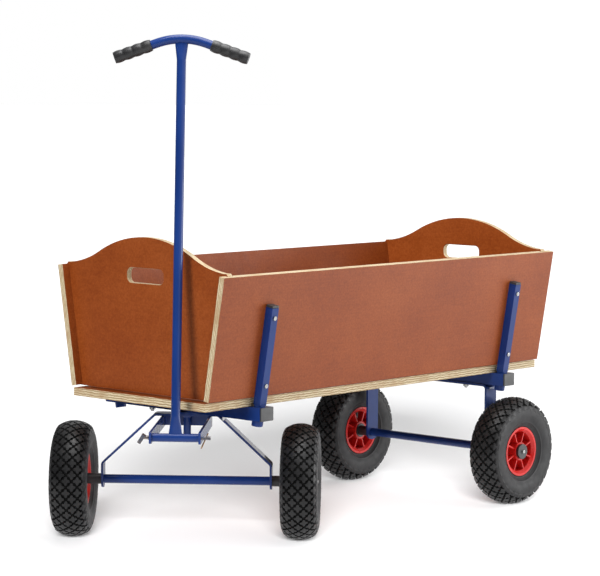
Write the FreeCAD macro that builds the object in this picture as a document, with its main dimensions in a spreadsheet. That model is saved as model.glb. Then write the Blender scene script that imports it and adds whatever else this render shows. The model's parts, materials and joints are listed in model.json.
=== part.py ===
import FreeCAD, Part
import math
import os
import Sketcher

# Hand wagon: a plywood box on a welded steel underframe, with a steered front bogie,
# a hinged drawbar with a T handle and four pneumatic wheels.
# Frame: +Z up from the ground, front of the wagon towards -Y, +X is the wagon's left side.
# The origin is on the ground under the middle of the whole wagon.

os.makedirs("parts", exist_ok=True)
doc = FreeCAD.newDocument("hand_wagon")
Vector = FreeCAD.Vector
Rotation = FreeCAD.Rotation
Placement = FreeCAD.Placement
X_AXIS, Y_AXIS, Z_AXIS = Vector(1, 0, 0), Vector(0, 1, 0), Vector(0, 0, 1)

SIZES = {
    # layout
    "midship": 60,              # middle of the deck, behind the origin
    "wheelbase": 867,
    "track": 509,               # between wheel centres of one axle
    "wheel_radius": 130,
    "rest_steer": 39,           # the bogie stands turned to the wagon's left
    "rest_lean": 7.8,           # the drawbar leans back to the box
    # box
    "deck_length": 1176,
    "deck_width": 408,
    "deck_thick": 18,
    "side_lean": 9.5,
    "side_short": 4,            # side panels are this much shorter than the deck
    "side_tall": 273,
    "side_thick": 15,
    "side_overhang": 9,       # foot of a side panel outside the deck's edge
    "side_gap": 0.5,            # above the deck
    "board_thick": 15,
    "front_board_setback": 21.5,    # board face behind the deck's end
    "rear_board_setback": 26.5,
    "board_gap": 4,             # under an end board
    "board_stand": 7,           # end board tips above the side panels
    "board_chamfer": 5,
    "groove_deep": 6.5,
    "slide_clearance": 0.2,
    "hump_tall": 66,
    "hump_radius": 300,
    "hollow_radius": 245,
    "hump_half": 143,           # from the middle to where hump turns to hollow
    "slot_length": 112,
    "slot_tall": 33,
    "slot_round": 13,
    "slot_drop": 85,            # slot middle under the hump's top
    # underframe
    "beam_underside": 286,
    "beam_tall": 30,
    "beam_wide": 40,
    "beam_wall": 2,
    "beam_length": 478,
    "cap_thick": 4,
    "plug_deep": 5,
    "plug_clearance": 0.2,
    "bar_thick": 5,
    "bar_wide": 40,
    "rear_axle_shift": 4,       # rear axle ahead of its beam
    "leg_spread": 377.2,        # between the middles of an axle frame's legs
    "leg_below": 19,            # leg below the axle's middle
    "leg_round": 18.5,
    "bend_inside": 7,
    "axle_radius": 10,
    "weld_clearance": 0.1,
    "running_clearance": 0.05,
    "free_clearance": 0.3,
    "spacer_radius": 12,
    # bogie
    "turntable_thick": 5,
    "turntable_radius": 30,
    "knee_height": 168,         # bend from upright leg to slanted leg
    "top_spread": 141.2,        # flat top of the front axle frame
    "king_radius": 6,
    "sleeve_radius": 8.6,
    "sleeve_length": 44,
    "sleeve_flare": 12.5,
    "flare_tall": 5,
    "fork_inside": 100.4,
    "fork_thick": 5,
    "fork_tall": 25,
    "fork_reach": 275.6,
    "fork_back": 12.7,
    "fork_round": 4,
    "pin_setback": 13,
    "pin_radius": 4,
    "pin_clearance": 0.2,
    "pin_tail": 20,
    "pin_collar": 5.2,
    "collar_thick": 3,
    "tab_stand": 17,            # middle of the pull tab outside the fork
    "tab_drop": 3,
    "tab_lean": 32,
    "tab_tall": 21,
    "tab_wide": 15,
    "tab_thick": 8,
    "clip_lean": 24,
    "clip_wire": 1.3,
    "clip_leg": 20,
    "clip_bow": 4.5,
    # drawbar
    "hinge_radius": 9,
    "tube_radius": 10,
    "tube_wall": 1.5,
    "flat_half": 14.6,          # flattened tube end, half its width
    "flat_thick": 8,
    "flat_length": 38,
    "drawbar_length": 853,      # pivot to the middle of the handlebar
    "handle_droop": 19.7,
    "handle_bend": 156,
    "grip_start": 67,           # along the handlebar from its middle
    "grip_length": 84,
    "grip_radius": 13.6,
    "grip_waist": 12.3,
    "grip_end": 3,
    # stakes
    "stake_side": 20,
    "stake_wall": 2,
    "stake_top": 202,           # along the stake from the side panel's foot
    "stake_cap": 5.5,
    "socket_radius": 12.5,
    "socket_stand": 4,
    "socket_length": 47,
    "spigot_length": 44,
    "pilot_length": 20,
    "stake_bolt_low": 29,
    "stake_bolt_high": 180,
    "stake_bolt_radius": 3,
    "stake_head_radius": 5,
    "stake_head_tall": 3,
    "stake_nut_radius": 6.5,
    "stake_nut_tall": 4.5,
    # deck bolts
    "deck_bolt_place": 110,
    "deck_bolt_radius": 4,
    "deck_head_radius": 10,
    "deck_head_tall": 4,
    "deck_nut_radius": 7.2,
    "deck_nut_tall": 7.5,
    "bolt_end": 3.5,            # thread that stands out of its nut
    "king_head_radius": 14,
    "king_head_tall": 6,
    "king_nut_radius": 10.4,
    "king_nut_tall": 13,
    # wheels
    "tyre_half": 42.5,
    "tyre_wall": 5,
    "bead_radius": 57,
    "bead_half": 24.5,
    "sidewall_radius": 93,      # where the tyre is widest
    "shoulder_radius": 119,
    "shoulder_half": 35,
    "rim_half": 30.3,
    "rim_radius": 59.5,
    "rim_lip": 4,
    "rim_face": 48,             # outer edge of the ribbed hollow
    "rim_wall": 4,
    "dish_deep": 6.5,           # the rim slopes in from its lip to the hollow
    "dish_edge": 54.5,
    "hub_radius": 22,
    "hub_bore": 14,
    "hub_half": 28,
    "web_half": 4,
    "rib_thick": 3,
    "rib_count": 8,
    "rib_turn": 22.5,           # keeps the ribs clear of the valve
    "rib_recess": 3.7,
    "flange_thick": 1.5,
    "flange_radius": 17.5,
    "hub_cap_radius": 18.4,
    "hub_cap_thick": 5.4,
    "axle_screw_radius": 3,
    "axle_screw_head": 4.2,
    "axle_screw_tall": 4,
    "axle_screw_length": 25,
    "tube_skin": 2.5,
    "valve_radius": 4,
    "valve_bore": 1.5,
    "valve_place": 13,          # from the wheel's middle towards its inner side
    "valve_inner": 31,          # distance of the valve's tip from the axle
}

FORMULAS = {
    "deck_underside": "sizes.beam_underside + sizes.beam_tall",
    "deck_top": "deck_underside + sizes.deck_thick",
    "side_length": "sizes.deck_length - sizes.side_short",
    "side_foot": "sizes.deck_width / 2 + sizes.side_overhang",
    "side_base": "deck_top + sizes.side_gap + sizes.side_thick * sin(sizes.side_lean * 1deg)",
    "front_groove": "sizes.deck_length / 2 - sizes.front_board_setback - sizes.board_thick / 2",
    "rear_groove": "sizes.deck_length / 2 - sizes.rear_board_setback - sizes.board_thick / 2",
    "groove_half": "sizes.board_thick / 2 + sizes.slide_clearance",
    "board_foot": "deck_top + sizes.board_gap",
    "board_head": "side_base + sizes.side_tall * cos(sizes.side_lean * 1deg) + sizes.board_stand",
    "board_edge": "side_foot - (sizes.side_thick - sizes.groove_deep + sizes.slide_clearance)"
                  " / cos(sizes.side_lean * 1deg)",
    "board_low_half": "board_edge + (board_foot - side_base) * tan(sizes.side_lean * 1deg)",
    "board_high_half": "board_edge + (board_head - side_base) * tan(sizes.side_lean * 1deg)",
    "hump_top": "board_head + sizes.hump_tall",
    "turn_height": "hump_top - sizes.hump_radius"
                   " + sqrt(sizes.hump_radius ^ 2 - sizes.hump_half ^ 2)",
    "hollow_end": "sizes.hump_half + sqrt(sizes.hollow_radius ^ 2"
                  " - (sizes.hollow_radius - (turn_height - board_head)) ^ 2)",
    "slot_middle": "hump_top - sizes.slot_drop",
    "leg_middle": "sizes.leg_spread / 2",
    "leg_bottom": "sizes.wheel_radius - sizes.leg_below",
    "rear_top": "sizes.beam_underside",
    "front_top": "sizes.beam_underside - sizes.turntable_thick",
    "front_under": "front_top - sizes.bar_thick",
    "pivot_reach": "sizes.fork_reach - sizes.pin_setback",
    "pivot_height": "front_under - sizes.fork_tall / 2",
    "fork_outside": "sizes.fork_inside / 2 + sizes.fork_thick",
    "axle_half": "sizes.track / 2 + sizes.hub_half + sizes.flange_thick + sizes.free_clearance",
    "socket_top": "(deck_underside - side_base + sizes.stake_side / 2 * sin(sizes.side_lean * 1deg))"
                  " / cos(sizes.side_lean * 1deg) + sizes.socket_stand",
    "grip_out": "sizes.grip_start + sizes.grip_length",
}


def fill_sheet(name, cells):
    """A sheet with one alias a row."""
    sheet = doc.addObject("Spreadsheet::Sheet", name)
    for row, (alias, content) in enumerate(cells.items(), start=1):
        sheet.set("A%d" % row, alias)
        sheet.setAlias("B%d" % row, alias)
        sheet.set("B%d" % row, str(content))
    doc.recompute()
    return sheet


sizes = fill_sheet("sizes", SIZES)
derived = fill_sheet("derived", {k: "=" + v for k, v in FORMULAS.items()})


def value(expression):
    """The number that an expression over the sheets gives."""
    found = derived.evalExpression(expression)
    return float(getattr(found, "Value", found))


pieces = []


def keep(piece, label, place=None):
    """Names a finished sub-part and puts it in its place."""
    piece.Label = label
    if place is not None:
        piece.Placement = place
    pieces.append(piece)
    return piece


# ---------------------------------------------------------------- modelling helpers

def new_body(name):
    return doc.addObject("PartDesign::Body", name + "_body")


def sketch_on(body, role, lift=None):
    """A sketch on one of the body's own origin planes, lifted along its normal."""
    sketch = body.newObject("Sketcher::SketchObject", body.Name + "_sketch")
    plane = next(p for p in body.Origin.OriginFeatures if p.Role == role)
    sketch.AttachmentSupport = [(plane, "")]
    sketch.MapMode = "FlatFace"
    if lift is not None:
        sketch.setExpression("AttachmentOffset.Base.z", lift)
    return sketch


def end_of(sketch, index, point):
    """Which end of an edge lies at the point."""
    edge = sketch.Geometry[index]
    near_start = (edge.StartPoint - point).Length < (edge.EndPoint - point).Length
    return 1 if near_start else 2


def outline(sketch, corners):
    """A closed outline through corners (x, y) given as expressions.
    A corner (x, y, radius, side) starts an arc whose centre is on that side of its chord."""
    points = [Vector(value(c[0]), value(c[1]), 0) for c in corners]
    first = sketch.GeometryCount
    count = len(points)
    for i, corner in enumerate(corners):
        start, end = points[i], points[(i + 1) % count]
        if len(corner) == 2:
            sketch.addGeometry(Part.LineSegment(start, end))
            continue
        radius, side = value(corner[2]), corner[3]
        chord = end - start
        across = Vector(-chord.y, chord.x, 0).normalize() * side
        centre = (start + end) * 0.5 + across * math.sqrt(max(radius ** 2 - chord.Length ** 2 / 4, 0))
        first_end, last_end = (start, end) if side > 0 else (end, start)
        sketch.addGeometry(Part.Arc(first_end, centre - across * radius, last_end))
    for i, corner in enumerate(corners):
        here, following = first + i, first + (i + 1) % count
        joint = points[(i + 1) % count]
        sketch.addConstraint(Sketcher.Constraint(
            "Coincident", here, end_of(sketch, here, joint), following, end_of(sketch, following, joint)))
    for i, corner in enumerate(corners):
        here = first + i
        end = end_of(sketch, here, points[i])
        across = sketch.addConstraint(Sketcher.Constraint("DistanceX", -1, 1, here, end, points[i].x))
        sketch.setExpression("Constraints[%d]" % across, corner[0])
        up = sketch.addConstraint(Sketcher.Constraint("DistanceY", -1, 1, here, end, points[i].y))
        sketch.setExpression("Constraints[%d]" % up, corner[1])
        if len(corner) > 2:
            bend = sketch.addConstraint(Sketcher.Constraint("Radius", here, value(corner[2])))
            sketch.setExpression("Constraints[%d]" % bend, corner[2])


def rectangle(sketch, left, low, right, high):
    outline(sketch, [(left, low), (right, low), (right, high), (left, high)])


def circle(sketch, across, up, radius):
    """A circle whose middle and radius are expressions."""
    middle = Vector(value(across), value(up), 0)
    index = sketch.addGeometry(Part.Circle(middle, Z_AXIS, value(radius)))
    for kind, number, expression in (("DistanceX", middle.x, across), ("DistanceY", middle.y, up)):
        made = sketch.addConstraint(Sketcher.Constraint(kind, -1, 1, index, 3, number))
        sketch.setExpression("Constraints[%d]" % made, expression)
    made = sketch.addConstraint(Sketcher.Constraint("Radius", index, value(radius)))
    sketch.setExpression("Constraints[%d]" % made, radius)


def pad(body, sketch, length, both_ways=False):
    feature = body.newObject("PartDesign::Pad", body.Name + "_pad")
    feature.Profile = sketch
    feature.Midplane = both_ways
    feature.setExpression("Length", length)
    doc.recompute()
    return feature


def bore_both_ways(body, sketch, length):
    """Cuts the sketch's outline through the body, equally far to both sides of its plane."""
    before = body.Shape.Volume
    feature = body.newObject("PartDesign::Pocket", body.Name + "_pocket")
    feature.Profile = sketch
    feature.Midplane = True
    feature.setExpression("Length", length)
    doc.recompute()
    if body.Shape.Volume >= before:
        raise RuntimeError(body.Name + ": a pocket cuts nothing")
    return feature


def round_edges(body, feature, points, radius):
    """Fillets the edges whose middles lie at the points (body coordinates)."""
    names = []
    for number, edge in enumerate(feature.Shape.Edges, start=1):
        middle = edge.CenterOfMass
        if any((middle - point).Length < 0.5 for point in points):
            names.append("Edge%d" % number)
    if len(names) != len(points):
        raise RuntimeError("%s: %d edges for %d points" % (body.Name, len(names), len(points)))
    fillet = body.newObject("PartDesign::Fillet", body.Name + "_fillet")
    fillet.Base = (feature, names)
    fillet.setExpression("Radius", radius)
    doc.recompute()
    return fillet


def turned(body, sketch):
    """Revolves the sketch about its own horizontal axis."""
    feature = body.newObject("PartDesign::Revolution", body.Name + "_turned")
    feature.Profile = sketch
    feature.ReferenceAxis = (sketch, ["H_Axis"])
    feature.Angle = 360
    doc.recompute()
    return feature


def primitive(kind, name, place=None, **properties):
    made = doc.addObject("Part::" + kind, name)
    for prop, expression in properties.items():
        made.setExpression(prop, expression)
    if place is not None:
        made.Placement = place
    return made


def rod(name, radius, start, end, axis, place=None):
    """A cylinder along an axis, from one distance to another."""
    turn = {"x": Rotation(Y_AXIS, 90), "y": Rotation(X_AXIS, -90), "z": Rotation()}[axis]
    made = primitive("Cylinder", name, Radius=radius, Height="(%s) - (%s)" % (end, start))
    local = Placement(turn.multVec(Z_AXIS) * value(start), turn)
    made.Placement = local if place is None else place.multiply(local)
    return made


def block(name, low, high, place=None):
    """A box between two corners of expressions."""
    made = primitive("Box", name, Length="(%s) - (%s)" % (high[0], low[0]),
                     Width="(%s) - (%s)" % (high[1], low[1]), Height="(%s) - (%s)" % (high[2], low[2]))
    local = Placement(Vector(*[value(c) for c in low]), Rotation())
    made.Placement = local if place is None else place.multiply(local)
    return made


def cut(name, base, tools):
    made = doc.addObject("Part::Cut", name)
    made.Base = base
    if len(tools) == 1:
        made.Tool = tools[0]
        return made
    joined = doc.addObject("Part::MultiFuse", name + "_tools")
    joined.Shapes = tools
    made.Tool = joined
    return made


def fuse(name, shapes):
    made = doc.addObject("Part::MultiFuse", name)
    made.Shapes = shapes
    return made


def group(name, shapes):
    """Identical pieces that share one node."""
    made = doc.addObject("Part::Compound", name)
    made.Links = shapes
    return made


def at(x=0.0, y=0.0, z=0.0, turn=None):
    return Placement(Vector(x, y, z), turn or Rotation())


# ---------------------------------------------------------------- frames of the assembly

MIDSHIP = at(y=value("sizes.midship"))
HALF_BASE = value("sizes.wheelbase / 2")
HALF_TURN = Rotation(Z_AXIS, 180)
KINGPIN = at(y=value("sizes.midship") - HALF_BASE)
REAR = at(y=value("sizes.midship") + HALF_BASE)
REAR_AXLE = at(y=value("sizes.midship") + HALF_BASE - value("sizes.rear_axle_shift"))
BOGIE = KINGPIN.multiply(at(turn=Rotation(Z_AXIS, value("sizes.rest_steer"))))
DRAWBAR = BOGIE.multiply(at(y=-value("derived.pivot_reach"), z=value("derived.pivot_height"),
                            turn=Rotation(X_AXIS, -value("sizes.rest_lean"))))
LEFT_SIDE = MIDSHIP.multiply(at(value("derived.side_foot"), 0, value("derived.side_base"),
                                Rotation(Y_AXIS, value("sizes.side_lean"))))
RIGHT_SIDE = MIDSHIP.multiply(at(turn=HALF_TURN)).multiply(
    MIDSHIP.inverse().multiply(LEFT_SIDE))
SIDES = {"left": LEFT_SIDE, "right": RIGHT_SIDE}
STAKE_ENDS = {"front": at(y=-HALF_BASE), "rear": at(y=HALF_BASE)}


# ---------------------------------------------------------------- plywood box

def make_deck():
    body = new_body("deck")
    sketch = sketch_on(body, "XY_Plane", "derived.deck_underside")
    half_wide, half_long = "sizes.deck_width / 2", "sizes.deck_length / 2"
    rectangle(sketch, "-" + half_wide, "-" + half_long, half_wide, half_long)
    pad(body, sketch, "sizes.deck_thick")
    holes = sketch_on(body, "XY_Plane", "derived.deck_underside")
    for end in ("-sizes.wheelbase / 2", "sizes.wheelbase / 2"):
        for side in ("-sizes.deck_bolt_place", "sizes.deck_bolt_place"):
            circle(holes, side, end, "sizes.deck_bolt_radius + sizes.weld_clearance")
    circle(holes, "0", "-sizes.wheelbase / 2", "sizes.king_radius + sizes.weld_clearance")
    bore_both_ways(body, holes, "sizes.deck_thick * 3")
    keep(body, "deck", MIDSHIP)


def make_side_panel(side):
    body = new_body(side + "_side_panel")
    sketch = sketch_on(body, "XY_Plane")
    inner, floor = "-sizes.side_thick", "-sizes.side_thick + sizes.groove_deep"
    half = "derived.side_length / 2"
    # the right panel is the left one's frame turned about, so its ends change places
    ends = ("front", "rear") if side == "left" else ("rear", "front")
    walls = []
    for sign, end in zip(("-", ""), ends):
        walls.append("%s(derived.%s_groove - derived.groove_half)" % (sign, end))
        walls.append("%s(derived.%s_groove + derived.groove_half)" % (sign, end))
    near_low, far_low, near_high, far_high = walls
    outline(sketch, [("0", "-" + half), ("0", half), (inner, half), (inner, far_high), (floor, far_high),
                     (floor, near_high), (inner, near_high), (inner, near_low), (floor, near_low),
                     (floor, far_low), (inner, far_low), (inner, "-" + half)])
    pad(body, sketch, "sizes.side_tall")
    holes = sketch_on(body, "YZ_Plane")
    for end in ("-sizes.wheelbase / 2", "sizes.wheelbase / 2"):
        for height in ("sizes.stake_bolt_low", "sizes.stake_bolt_high"):
            circle(holes, end, height, "sizes.stake_bolt_radius + sizes.weld_clearance")
    bore_both_ways(body, holes, "sizes.side_thick * 3")
    keep(body, side + "_side_panel", SIDES[side])


def make_board(name, direction):
    """An end board with a humped top edge and a hand slot."""
    body = new_body(name)
    sketch = sketch_on(body, "XZ_Plane")
    low, high = "derived.board_low_half", "derived.board_high_half"
    slope = "sizes.board_chamfer * tan(sizes.side_lean * 1deg)"
    foot, head, turn = "derived.board_foot", "derived.board_head", "derived.turn_height"
    chamfer_foot = head + " - sizes.board_chamfer"
    flat = "min(derived.hollow_end; derived.board_high_half - 3 * sizes.board_chamfer)"
    outline(sketch, [
        ("-" + low, foot), (low, foot),
        (high + " - " + slope, chamfer_foot), (high + " - sizes.board_chamfer", head),
        (flat, head, "sizes.hollow_radius", -1),
        ("sizes.hump_half", turn, "sizes.hump_radius", 1),
        ("-sizes.hump_half", turn, "sizes.hollow_radius", -1),
        ("-" + flat, head), ("-" + high + " + sizes.board_chamfer", head),
        ("-" + high + " + " + slope, chamfer_foot)])
    pad(body, sketch, "sizes.board_thick", both_ways=True)
    hole = sketch_on(body, "XZ_Plane")
    side, run = "(sizes.slot_length / 2)", "(sizes.slot_length / 2 - sizes.slot_round)"
    middle, r = "derived.slot_middle", "sizes.slot_round"
    top, bottom = middle + " + sizes.slot_tall / 2", middle + " - sizes.slot_tall / 2"
    outline(hole, [
        ("-" + run, bottom), (run, bottom, r, 1),
        (side, bottom + " + " + r), (side, top + " - " + r, r, 1),
        (run, top), ("-" + run, top, r, 1),
        ("-" + side, top + " - " + r), ("-" + side, bottom + " + " + r, r, 1)])
    bore_both_ways(body, hole, "sizes.board_thick * 2")
    end = "front" if direction < 0 else "rear"
    keep(body, name, MIDSHIP.multiply(at(y=direction * value("derived.%s_groove" % end))))


# ---------------------------------------------------------------- stakes and their sockets

STAKE_MIDDLE = "sizes.stake_side / 2"


def stake_rod(name, radius, start, end, place):
    """A rod along a stake's axis."""
    return rod(name, radius, start, end, "z", place.multiply(at(x=value(STAKE_MIDDLE))))


def make_sockets():
    tubes = []
    for side, frame in SIDES.items():
        for end, place in STAKE_ENDS.items():
            name = "socket_%s_%s" % (side, end)
            here = frame.multiply(place)
            low, top = "derived.socket_top - sizes.socket_length", "derived.socket_top"
            outer = stake_rod(name + "_wall", "sizes.socket_radius", low, top, here)
            inner = stake_rod(name + "_bore", "sizes.stake_side / 2 + sizes.running_clearance",
                              low + " - 1", top + " + 1", here)
            tubes.append(cut(name, outer, [inner]))
    keep(group("sockets", tubes), "stake_sockets")


def make_stakes(side):
    """Square tubes, their round spigots, plastic caps and bolts for one side panel."""
    frame = SIDES[side]
    tubes, spigots, caps, bolts, nuts = [], [], [], [], []
    half, wall = "sizes.stake_side / 2", "sizes.stake_wall"
    for end, place in STAKE_ENDS.items():
        name = "%s_%s" % (side, end)
        here = frame.multiply(place)
        foot, top = "derived.socket_top", "sizes.stake_top"
        outer = block(name + "_tube", ("0", "-" + half, foot), ("sizes.stake_side", half, top), here)
        inner = block(name + "_hollow", (wall, "-%s + %s" % (half, wall), foot + " - 1"),
                      ("sizes.stake_side - " + wall, "%s - %s" % (half, wall), top + " + 1"),
                      here)
        tools = [inner]
        for height in ("low", "high"):
            level = here.multiply(at(z=value("sizes.stake_bolt_" + height)))
            tools.append(rod("%s_hole_%s" % (name, height),
                             "sizes.stake_bolt_radius + sizes.weld_clearance",
                             "-1", "sizes.stake_side + 1", "x", level))
            shank = rod("%s_shank_%s" % (name, height), "sizes.stake_bolt_radius",
                        "-sizes.side_thick - sizes.stake_nut_tall + 0.5", "sizes.stake_side + 0.5",
                        "x", level)
            head = rod("%s_head_%s" % (name, height), "sizes.stake_head_radius",
                       "sizes.stake_side", "sizes.stake_side + sizes.stake_head_tall", "x", level)
            bolts.append(fuse("%s_bolt_%s" % (name, height), [shank, head]))
            nut = rod("%s_nutbody_%s" % (name, height), "sizes.stake_nut_radius",
                      "-sizes.side_thick - sizes.stake_nut_tall", "-sizes.side_thick", "x", level)
            bore = rod("%s_nutbore_%s" % (name, height),
                       "sizes.stake_bolt_radius + sizes.weld_clearance",
                       "-sizes.side_thick - sizes.stake_nut_tall + 0.4", "-sizes.side_thick + 1",
                       "x", level)
            nuts.append(cut("%s_nut_%s" % (name, height), nut, [bore]))
        tubes.append(cut(name + "_stake", outer, tools))
        peg = stake_rod(name + "_peg", half, foot + " - sizes.spigot_length", foot, here)
        pilot = stake_rod(name + "_pilot", half + " - sizes.stake_wall - sizes.weld_clearance",
                          foot + " - 1", foot + " + sizes.pilot_length", here)
        spigots.append(fuse(name + "_spigot", [peg, pilot]))
        inset = wall + " + sizes.plug_clearance"
        lid = block(name + "_lid", ("0", "-" + half, top),
                    ("sizes.stake_side", half, top + " + sizes.stake_cap"), here)
        plug = block(name + "_plug", (inset, "-%s + %s" % (half, inset), top + " - 10"),
                     ("sizes.stake_side - (%s)" % inset, "%s - (%s)" % (half, inset), top + " + 1"),
                     here)
        caps.append(fuse(name + "_cap", [lid, plug]))
    keep(group(side + "_stake_group", tubes), side + "_stakes")
    keep(group(side + "_spigot_group", spigots), side + "_stake_spigots")
    keep(group(side + "_cap_group", caps), side + "_stake_caps")
    keep(group(side + "_bolt_group", bolts), side + "_stake_bolts")
    keep(group(side + "_nut_group", nuts), side + "_stake_nuts")


# ---------------------------------------------------------------- underframe

def make_beam(name, place, kingpin):
    """A box tube across the wagon, bored for sockets and bolts."""
    half_long, half_wide, wall = "sizes.beam_length / 2", "sizes.beam_wide / 2", "sizes.beam_wall"
    low, high = "sizes.beam_underside", "derived.deck_underside"
    outer = block(name + "_outer", ("-" + half_long, "-" + half_wide, low),
                  (half_long, half_wide, high), place)
    inner = block(name + "_inner",
                  ("-%s - 1" % half_long, "-%s + %s" % (half_wide, wall), low + " + " + wall),
                  (half_long + " + 1", "%s - %s" % (half_wide, wall), high + " - " + wall), place)
    tools = [inner]
    for side, frame in SIDES.items():
        for end, shift in STAKE_ENDS.items():
            tools.append(stake_rod("%s_%s_%s_hole" % (name, side, end),
                                   "sizes.socket_radius + sizes.weld_clearance",
                                   "-80", "0", frame.multiply(shift)))
    for number, side in enumerate((-1, 1)):
        tools.append(rod("%s_bolt_hole%d" % (name, number), "sizes.deck_bolt_radius + sizes.weld_clearance",
                         low + " - 1", high + " + 1", "z",
                         place.multiply(at(x=side * value("sizes.deck_bolt_place")))))
    if kingpin:
        tools.append(rod(name + "_king_hole", "sizes.king_radius + sizes.weld_clearance",
                         low + " - 1", high + " + 1", "z", place))
    keep(cut(name, outer, tools), name)


def make_beam_caps():
    caps = []
    half_wide, inset = "sizes.beam_wide / 2", "sizes.beam_wall + sizes.plug_clearance"
    low, high = "sizes.beam_underside", "derived.deck_underside"
    end = "sizes.beam_length / 2"
    for place_name, place in (("front", KINGPIN), ("rear", REAR)):
        for number, turn in enumerate((Rotation(), HALF_TURN)):
            here = place.multiply(at(turn=turn))
            name = "beam_cap_%s_%d" % (place_name, number)
            lid = block(name + "_lid", (end, "-" + half_wide, low),
                        (end + " + sizes.cap_thick", half_wide, high), here)
            plug = block(name + "_plug",
                         (end + " - sizes.plug_deep", "-%s + %s" % (half_wide, inset), low + " + " + inset),
                         (end + " + 1", "%s - (%s)" % (half_wide, inset), high + " - (%s)" % inset), here)
            caps.append(fuse(name, [lid, plug]))
    keep(group("beam_caps", caps), "beam_end_caps")


def make_deck_bolts():
    bolts, nuts = [], []
    top = "derived.deck_top"
    for end, place in (("front", KINGPIN), ("rear", REAR)):
        # the rear bolts also hold the axle frame's flat top
        under = "sizes.beam_underside" if end == "front" else "sizes.beam_underside - sizes.bar_thick"
        for number, side in enumerate((-1, 1)):
            here = place.multiply(at(x=side * value("sizes.deck_bolt_place")))
            name = "deck_bolt_%s_%d" % (end, number)
            nut_low = under + " - sizes.deck_nut_tall"
            shank = rod(name + "_shank", "sizes.deck_bolt_radius",
                        nut_low + " - sizes.bolt_end", top + " + 1", "z", here)
            head = rod(name + "_head", "sizes.deck_head_radius",
                       top, top + " + sizes.deck_head_tall", "z", here)
            bolts.append(fuse(name, [shank, head]))
            body = rod(name + "_nut_body", "sizes.deck_nut_radius", nut_low, under, "z", here)
            bore = rod(name + "_nut_bore", "sizes.deck_bolt_radius + sizes.weld_clearance",
                       nut_low + " - 1", under + " + 1", "z", here)
            nuts.append(cut(name + "_nut", body, [bore]))
    keep(group("deck_bolt_group", bolts), "deck_bolts")
    keep(group("deck_nut_group", nuts), "deck_nuts")


def bored_frame(body, top_holes):
    """Holes for the axle, and in the flat top for what passes through it (across, along, radius)."""
    holes = sketch_on(body, "YZ_Plane")
    circle(holes, "0", "sizes.wheel_radius", "sizes.axle_radius + sizes.weld_clearance")
    bore_both_ways(body, holes, "sizes.leg_spread * 1.2")
    top = sketch_on(body, "XY_Plane")
    for across, lengthways, radius in top_holes:
        circle(top, across, lengthways, radius)
    bore_both_ways(body, top, "derived.rear_top * 2.1")


def foot_points():
    """Middles of the four corner edges at the feet of the two legs."""
    return [Vector(side * value("derived.leg_middle"), end * value("sizes.bar_wide / 2"),
                   value("derived.leg_bottom"))
            for side in (-1, 1) for end in (-1, 1)]


def make_rear_axle_frame():
    body = new_body("rear_axle_frame")
    sketch = sketch_on(body, "XZ_Plane")
    out, inside = "(derived.leg_middle + sizes.bar_thick / 2)", "(derived.leg_middle - sizes.bar_thick / 2)"
    foot, top = "derived.leg_bottom", "derived.rear_top"
    under = top + " - sizes.bar_thick"
    outer_bend, inner_bend = "(sizes.bend_inside + sizes.bar_thick)", "sizes.bend_inside"
    outline(sketch, [
        (out, foot), (out, top + " - " + outer_bend, outer_bend, 1), (out + " - " + outer_bend, top),
        ("-" + out + " + " + outer_bend, top, outer_bend, 1), ("-" + out, top + " - " + outer_bend),
        ("-" + out, foot),
        ("-" + inside, foot), ("-" + inside, under + " - " + inner_bend, inner_bend, -1),
        ("-" + inside + " + " + inner_bend, under), (inside + " - " + inner_bend, under, inner_bend, -1),
        (inside, under + " - " + inner_bend), (inside, foot)])
    base = pad(body, sketch, "sizes.bar_wide", both_ways=True)
    round_edges(body, base, foot_points(), "sizes.leg_round")
    bolt = "sizes.deck_bolt_radius + sizes.weld_clearance"
    shift = "sizes.rear_axle_shift"
    bored_frame(body, [(side + "sizes.deck_bolt_place", shift, bolt) for side in ("-", "")])
    keep(body, "rear_axle_frame", REAR_AXLE)


def make_front_axle_frame():
    """A flat bar bent to a trapezoid: upright feet, slanted legs and a flat top."""
    body = new_body("front_axle_frame")
    sketch = sketch_on(body, "XZ_Plane")
    half = value("sizes.bar_thick / 2")
    leg, knee = value("derived.leg_middle"), value("sizes.knee_height")
    top_end, top = value("sizes.top_spread / 2"), value("derived.front_top") - half
    slant = math.degrees(math.atan2(leg - top_end, top - knee))
    step_low = "sizes.bar_thick / 2 * tan(%.9g deg / 2)" % slant
    step_high = "sizes.bar_thick / 2 * tan(%.9g deg / 2)" % (90 - slant)
    out, inside = "(derived.leg_middle + sizes.bar_thick / 2)", "(derived.leg_middle - sizes.bar_thick / 2)"
    foot, crown, under = "derived.leg_bottom", "derived.front_top", "derived.front_under"
    high_out, high_in = "(sizes.top_spread / 2 + %s)" % step_high, "(sizes.top_spread / 2 - %s)" % step_high
    low_out, low_in = "sizes.knee_height + " + step_low, "sizes.knee_height - " + step_low
    outline(sketch, [
        (out, foot), (out, low_out), (high_out, crown), ("-" + high_out, crown), ("-" + out, low_out),
        ("-" + out, foot), ("-" + inside, foot), ("-" + inside, low_in), ("-" + high_in, under),
        (high_in, under), (inside, low_in), (inside, foot)])
    base = pad(body, sketch, "sizes.bar_wide", both_ways=True)
    inner, outer = [], []
    for side in (-1, 1):
        outer.append(Vector(side * value(out), 0, value(low_out)))
        outer.append(Vector(side * value(high_out), 0, value(crown)))
        inner.append(Vector(side * value(inside), 0, value(low_in)))
        inner.append(Vector(side * value(high_in), 0, value(under)))
    bend = round_edges(body, base, outer, "sizes.bend_inside + sizes.bar_thick")
    bend = round_edges(body, bend, inner, "sizes.bend_inside")
    round_edges(body, bend, foot_points(), "sizes.leg_round")
    bored_frame(body, [("0", "0", "sizes.king_radius + sizes.free_clearance")])
    keep(body, "front_axle_frame", BOGIE)


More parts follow.
